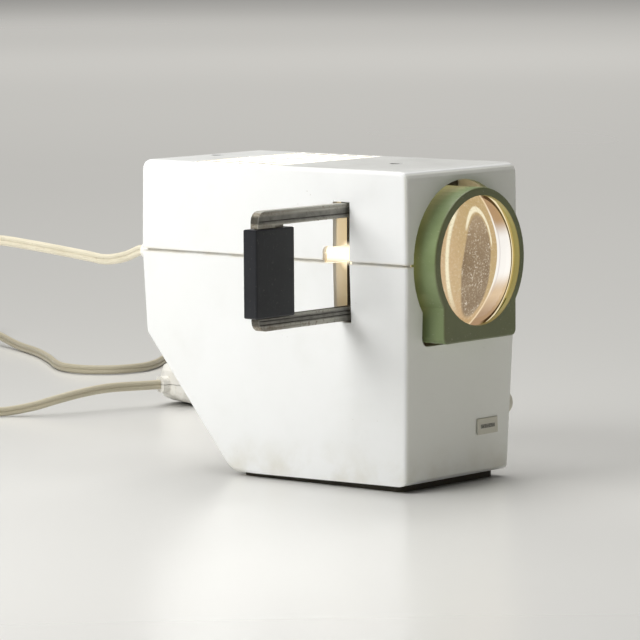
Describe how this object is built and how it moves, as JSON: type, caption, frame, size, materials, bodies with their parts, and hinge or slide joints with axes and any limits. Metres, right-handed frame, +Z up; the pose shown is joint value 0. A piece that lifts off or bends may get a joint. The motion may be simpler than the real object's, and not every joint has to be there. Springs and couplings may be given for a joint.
{
  "type": "slide viewer",
  "caption": "Cream table-top slide viewer with a sliding carrier at its side, a focusing magnifier on the front and a mains lead with an in-line switch.",
  "frame": {"origin": "underside of the base plate, at the middle of the case", "axes": "+Z up, the magnifier faces -Y, the carrier comes out to -X"},
  "size_m": [0.4466, 0.6723, 0.1453],
  "materials": {
    "case_cream": "moulded, slightly yellowed, fine satin",
    "cord_ivory": "smooth ivory flex and fittings",
    "holder_sage": "sage green moulding",
    "sheet_steel": "worn grey sheet steel",
    "mirror_chrome": "bright plated",
    "spring_steel": "blued leaf",
    "brass": "turned brass",
    "black_plastic": "dark moulding with light wear",
    "base_brown": "dark brown pressed board",
    "clear_glass": "polished",
    "opal_glass": "opal, ground",
    "ceramic": "glazed ceramic",
    "laminations": "stacked lacquered laminations",
    "winding_tape": "varnished tape over the winding",
    "knob_white": "white moulding",
    "badge_beige": "plain beige plaque"
  },
  "bodies": {
    "case": {"upper_cover": "case_cream", "lower_housing": "case_cream", "base_plate": "base_brown", "base_screw_1": "sheet_steel", "base_screw_2": "sheet_steel", "base_screw_3": "sheet_steel", "base_screw_4": "sheet_steel", "cover_screw_front": "sheet_steel", "cover_screw_rear": "sheet_steel", "front_badge": "badge_beige", "chassis_plate": "sheet_steel", "rear_pillar": "sheet_steel", "rod_bracket_front": "sheet_steel", "rod_bracket_rear": "sheet_steel", "guide_rod_left": "sheet_steel", "guide_rod_right": "sheet_steel", "socket_bracket": "sheet_steel", "shaft_bracket": "sheet_steel", "gate_lower_guide": "black_plastic", "gate_upper_guide": "black_plastic", "gate_front_plate": "sheet_steel", "gate_rear_plate": "sheet_steel", "detent_spring": "spring_steel", "condenser_tube": "black_plastic", "diffuser_glass": "opal_glass", "condenser_lens": "clear_glass", "heat_glass": "clear_glass", "lamp_house": "sheet_steel", "reflector": "mirror_chrome", "lamp_bulb": "clear_glass", "lamp_cap": "brass", "lamp_socket": "ceramic", "transformer_core": "laminations", "transformer_coil": "winding_tape", "terminal_block": "ceramic", "mains_lead_inside": "cord_ivory", "lamp_lead": "cord_ivory", "cord_gland": "cord_ivory", "focus_bush": "brass", "cord_to_switch": "cord_ivory", "cord_switch_base": "cord_ivory", "cord_switch_cover": "cord_ivory", "cord_from_switch": "cord_ivory", "cord_coil": "cord_ivory", "cord_to_plug": "cord_ivory", "plug_body": "cord_ivory", "plug_pin_left": "mirror_chrome", "plug_pin_right": "mirror_chrome"},
    "lens": {"lens_holder": "holder_sage", "front_lens": "clear_glass", "lens_retaining_ring": "black_plastic", "lens_carriage": "sheet_steel", "holder_screw_left": "sheet_steel", "holder_screw_right": "sheet_steel"},
    "focus": {"focus_shaft": "sheet_steel", "focus_crank": "brass", "focus_knob": "knob_white"},
    "carrier": {"carrier_frame": "sheet_steel", "carrier_handle": "black_plastic"},
    "switch_slider": {"cord_switch_slider": "knob_white"}
  },
  "joints": [
    {"name": "carrier_slide", "type": "slide", "parent": "case", "child": "carrier", "axis": [1, 0, 0], "range_m": [-0.0138, 0.0533]},
    {"name": "lens_slide", "type": "slide", "parent": "case", "child": "lens", "axis": [0, -1, 0], "range_m": [-0.007, 0.011]},
    {"name": "focus_turn", "type": "hinge", "parent": "case", "child": "focus", "pos_m": [0, -0.065, 0.0327], "axis": [1, 0, 0], "range_deg": [-16.5, 25.5]},
    {"name": "cord_switch_slide", "type": "slide", "parent": "case", "child": "switch_slider", "axis": [0.9483, -0.3173, 0], "range_m": [0, 0.0075]}
  ],
  "couplings": [
    {"joint": "focus_turn", "follows": "lens_slide", "rad_per_m": 39.6}
  ]
}
